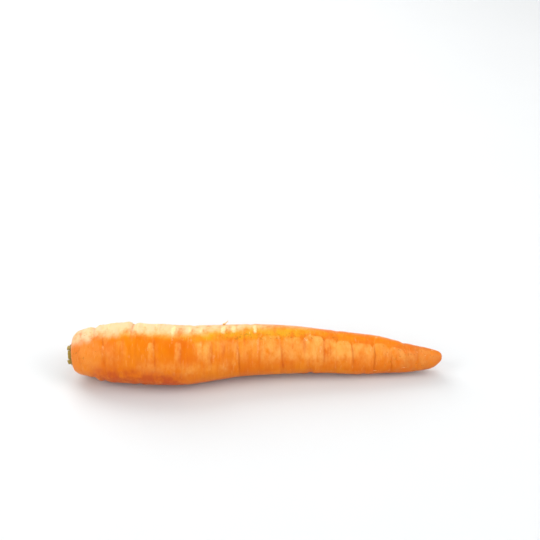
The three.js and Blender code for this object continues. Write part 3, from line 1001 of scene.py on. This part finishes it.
class CARROT_OT_leaf_stalks(bpy.types.Operator):
    """Build the cut ends of the leaf stalks, their plate and the bud in their middle"""

    bl_idname = "carrot.leaf_stalks"
    bl_label = "Leaf stalks"

    def execute(self, context):
        settings = context.scene.carrot_crown
        random = np.random.default_rng(settings.seed)
        form = Form("cut", "foot")
        self.plate(form, random)
        self.bud(form)
        for count, radius, thick, arc, first, lean, usual in WHORLS:
            for n in range(count):
                tall = usual + CUT_UNEVEN * math.sin(2.4 * n + first)
                turned = math.radians(first) + 2 * math.pi * n / count
                self.stalk(form, random, radius, thick, math.radians(arc), tall, math.radians(lean), turned)
        piece = form.build("leaf_stalk_stubs", stalk_material(settings), crown_frame())
        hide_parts("leaf_stalks")
        return {"FINISHED"}

    def plate(self, form, random):
        turn = np.linspace(0, 2 * math.pi, PLATE_SIDES, endpoint=False)
        rim = 1 + 0.02 * np.cos(7 * turn + 1) + 0.015 * np.cos(11 * turn)
        rows = []
        for share, height in PLATE_OUTLINE:
            bumps = PLATE_BUMPS * np.cos(9 * turn + 5 * share) + random.normal(0, PLATE_ROUGH, len(turn))
            top = (height + bumps * (height > PLATE_BUMPY)) * PLATE_TOP
            rows.append(ring(turn, PLATE_RADIUS * share * rim, top))
        form.add(np.stack(rows), capped=True, foot=1.0)

    def bud(self, form):
        turn = np.linspace(0, 2 * math.pi, BUD_SIDES, endpoint=False)
        rows, foot = [], []
        for share in np.linspace(BUD_FROM, 1, BUD_RINGS):
            dome = 1.1 - share**2.2
            swell = BUD_RADIUS * dome * (1 + BUD_LOBE * np.cos(BUD_LOBES * turn + 2 * share))
            rows.append(ring(turn, np.maximum(swell, BUD_POINT), BUD_LENGTH * share))
            foot.append(np.full(len(turn), 1 - smoothstep(share, *BUD_FADE)))
        form.add(np.stack(rows), capped=True, foot=np.stack(foot))

    def stalk(self, form, random, radius, thick, arc, tall, lean, turned):
        """One stub: a crescent with ribs along its back, cut off square and dried a little hollow."""
        way = np.linspace(-1, 1, STALK_SIDES)
        body = thick * (STALK_EDGE + (1 - STALK_EDGE) * np.cos(way * math.pi / 2) ** 0.7)
        ribs = STALK_RIB * np.cos(STALK_RIBS * math.pi * way) + random.normal(0, STALK_ROUGH, len(way))
        middle = radius - thick / 2
        outer = np.stack([way * arc / 2, middle + body / 2 + ribs], axis=1)
        inner = np.stack([way * arc / 2, middle - body / 2], axis=1)[1:-1][::-1]
        section = np.concatenate([outer, inner])
        line = np.stack([section[:, 0] * STALK_LINE, np.full(len(section), middle)], axis=1)
        levels = [(height, size, 0) for height, size in STALK_FOOT]
        levels += [(tall - below, size, fresh) for below, size, fresh in STALK_TOP]
        levels += [(tall - CUT_DIP * dip, size, 1) for size, dip in STALK_CUT]
        rows, cut, foot = [], [], []
        tilt = random.uniform(-CUT_TILT, CUT_TILT)
        for height, size, fresh in levels:
            at = line + (section - line) * size
            sloped = tilt * (at[:, 0] / arc) * 2 * (height > CUT_TILT_FROM)
            torn = CUT_TORN * np.sin(17 * at[:, 0]) * (fresh > 0)
            rows.append(ring(at[:, 0] + turned, at[:, 1] + math.tan(lean) * height, height + sloped + torn))
            cut.append(np.full(len(at), fresh))
            foot.append(np.full(len(at), 1 - smoothstep(height, *STALK_FADE)))
        form.add(np.stack(rows), capped=True, cut=np.stack(cut), foot=np.stack(foot))


class CARROT_OT_dried_leaf_bases(bpy.types.Operator):
    """Build the ring of dried, ragged leaf bases round the stalks"""

    bl_idname = "carrot.dried_leaf_bases"
    bl_label = "Dried leaf bases"

    def execute(self, context):
        settings = context.scene.carrot_crown
        random = np.random.default_rng(settings.seed + 1)
        form = Form("edge")
        for n in range(2 * SCALE_COUNT):
            turned = (n + 0.5 + random.uniform(-SCALE_ASTRAY, SCALE_ASTRAY)) * math.pi / SCALE_COUNT
            self.scale(form, random, turned, n % 2)
        piece = form.build("dried_leaf_scales", dried_material(settings), crown_frame())
        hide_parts("dried_leaf_bases")
        return {"FINISHED"}

    def scale(self, form, random, turned, behind):
        """One thin scale: broad at its foot, torn along its top, and curled a little outwards."""
        way = np.linspace(-1, 1, SCALE_SIDES)
        half = random.uniform(*SCALE_HALF)
        waves, rough = SCALE_TORN
        torn = waves * np.sin(9 * way + 7 * turned) + random.normal(0, rough, len(way))
        full = SCALE_LENGTH + SCALE_UNEVEN * math.sin(2 * turned + 1) - behind * BEHIND_SHORTER
        top = np.maximum(full - SCALE_NOTCH * np.abs(way) ** 1.6 + torn, SCALE_LOWEST)
        base = SCALE_RADIUS - behind * BEHIND_IN
        curl = random.uniform(*SCALE_CURL)
        rows, edge = [], []
        for share in np.linspace(0, 1, SCALE_RINGS):
            thick = SCALE_THICK * (1 - SCALE_THINNER * share)
            out = base + curl * share**2 + SCALE_WAVE * np.sin(11 * way + 3 * share)
            angle = turned + way * half * (1 - SCALE_NARROWER * share**2)
            front = ring(angle, out, top * share)
            back = ring(angle, out - thick, top * share - SCALE_BEVEL)[::-1]
            rows.append(np.concatenate([front, back]))
            edge.append(np.full(2 * len(way), smoothstep(share, *SCALE_FADE)))
        form.add(np.stack(rows), capped=True, edge=np.stack(edge))


class CARROT_OT_rootlets(bpy.types.Operator):
    """Build the few thin rootlets that are left on the root"""

    bl_idname = "carrot.rootlets"
    bl_label = "Rootlets"

    def execute(self, context):
        settings = context.scene.carrot_root
        random = np.random.default_rng(settings.seed + 2)
        form = Form()
        for x, degrees, reach, thick, stand, way in ROOTLETS:
            share = np.linspace(0, 1, ROOTLET_RINGS)
            wander = np.cumsum(random.normal(0, ROOTLET_WANDER, len(share)))
            heading = math.radians(way) + wander
            along = x + np.cumsum(np.cos(heading)) * reach / len(share)
            radius = np.interp(along, [p[0] for p in BODY], [p[1] for p in BODY])
            angle = math.radians(degrees) + np.cumsum(np.sin(heading)) * reach / len(share) / radius
            size = thick * (1 - ROOTLET_TAPER * share) / 2
            off = stand * share**1.6 + size - ROOTLET_SUNK
            form.add(tube(on_root(along, radius, angle, off), size), capped=True)
        form.build("rootlets", rootlet_material(settings))
        return {"FINISHED"}


class CARROT_OT_stage(bpy.types.Operator):
    """Lay the floor, and place the lights and the camera"""

    bl_idname = "carrot.stage"
    bl_label = "Stage"

    def execute(self, context):
        settings = context.scene.carrot_stage
        scene = context.scene
        scene.view_settings.view_transform = "Standard"
        turns = [2 * math.pi * n / FLOOR_SIDES for n in range(FLOOR_SIDES)]
        rim = [(FLOOR_RADIUS * MM * math.cos(turn), FLOOR_RADIUS * MM * math.sin(turn), 0) for turn in turns]
        mesh = bpy.data.meshes.new("floor")
        mesh.from_pydata(rim, [], [range(FLOOR_SIDES)])
        mesh.materials.append(floor_material(settings))
        floor = bpy.data.objects.new("floor", mesh)
        floor.location.z = -FLOOR_DROP * MM
        scene.collection.objects.link(floor)

        self.surround(scene, settings)
        for name, place, aim, size, radiance in LIGHTS:
            light = bpy.data.lights.new(name, "AREA")
            light.shape = "RECTANGLE"
            light.size, light.size_y = (part * MM for part in size)
            light.energy = radiance * math.pi * light.size * light.size_y
            light.color = settings.light[:3]
            lamp = bpy.data.objects.new(name, light)
            lamp.location = Vector(place) * MM
            lamp.rotation_euler = (Vector(aim) - Vector(place)).to_track_quat("-Z", "Y").to_euler()
            lamp.visible_camera = False
            scene.collection.objects.link(lamp)

        lens = bpy.data.cameras.new("camera")
        lens.lens = settings.lens
        lens.sensor_width = SENSOR_WIDTH
        camera = bpy.data.objects.new("camera", lens)
        aim = Vector(CAMERA_AIM) * MM
        back = Vector((0, -math.cos(settings.elevation), math.sin(settings.elevation)))
        camera.location = aim + back * settings.distance
        camera.rotation_euler = (math.pi / 2 - settings.elevation, 0, 0)
        scene.collection.objects.link(camera)
        scene.camera = camera
        return {"FINISHED"}

    def surround(self, scene, settings):
        """A studio's even light from all round: pale walls at the horizon under a dimmer ceiling."""
        world = bpy.data.worlds.new("studio")
        world.use_nodes = True
        tree = world.node_tree
        way = add(tree, "ShaderNodeTexCoord").outputs["Generated"]
        up = add(tree, "ShaderNodeSeparateXYZ", {0: way}).outputs["Z"]
        low, high = WALLS_END
        inputs = {
            "Value": up,
            "From Min": low,
            "From Max": high,
            "To Min": settings.walls,
            "To Max": settings.ceiling,
        }
        strength = add(tree, "ShaderNodeMapRange", inputs, interpolation_type="SMOOTHSTEP").outputs["Result"]
        background = tree.nodes["Background"]
        background.inputs["Color"].default_value = (1, 1, 1, 1)
        tree.links.new(strength, background.inputs["Strength"])
        scene.world = world


class CARROT_PT_panel(bpy.types.Panel):
    """The carrot's pieces and what can be changed in them"""

    bl_label = "Carrot"
    bl_idname = "CARROT_PT_panel"
    bl_space_type = "VIEW_3D"
    bl_region_type = "UI"
    bl_category = "Carrot"

    def draw(self, context):
        for operator in OPERATORS:
            self.layout.operator(operator.bl_idname)
        for name, group in SETTINGS.items():
            for each in group.__annotations__:
                self.layout.prop(getattr(context.scene, name), each)


OPERATORS = (
    CARROT_OT_root,
    CARROT_OT_leaf_stalks,
    CARROT_OT_dried_leaf_bases,
    CARROT_OT_rootlets,
    CARROT_OT_stage,
)
SETTINGS = {
    "carrot_root": CarrotRootSettings,
    "carrot_crown": CarrotCrownSettings,
    "carrot_stage": CarrotStageSettings,
}


def register():
    for made in (*SETTINGS.values(), *OPERATORS, CARROT_PT_panel):
        bpy.utils.register_class(made)
    for name, group in SETTINGS.items():
        setattr(bpy.types.Scene, name, bpy.props.PointerProperty(type=group))


def unregister():
    for name in SETTINGS:
        delattr(bpy.types.Scene, name)
    for made in reversed((*SETTINGS.values(), *OPERATORS, CARROT_PT_panel)):
        bpy.utils.unregister_class(made)


def main():
    register()
    bpy.ops.carrot.root()
    bpy.ops.carrot.leaf_stalks()
    bpy.ops.carrot.dried_leaf_bases()
    bpy.ops.carrot.rootlets()
    bpy.ops.carrot.stage()


if __name__ == "__main__":
    main()
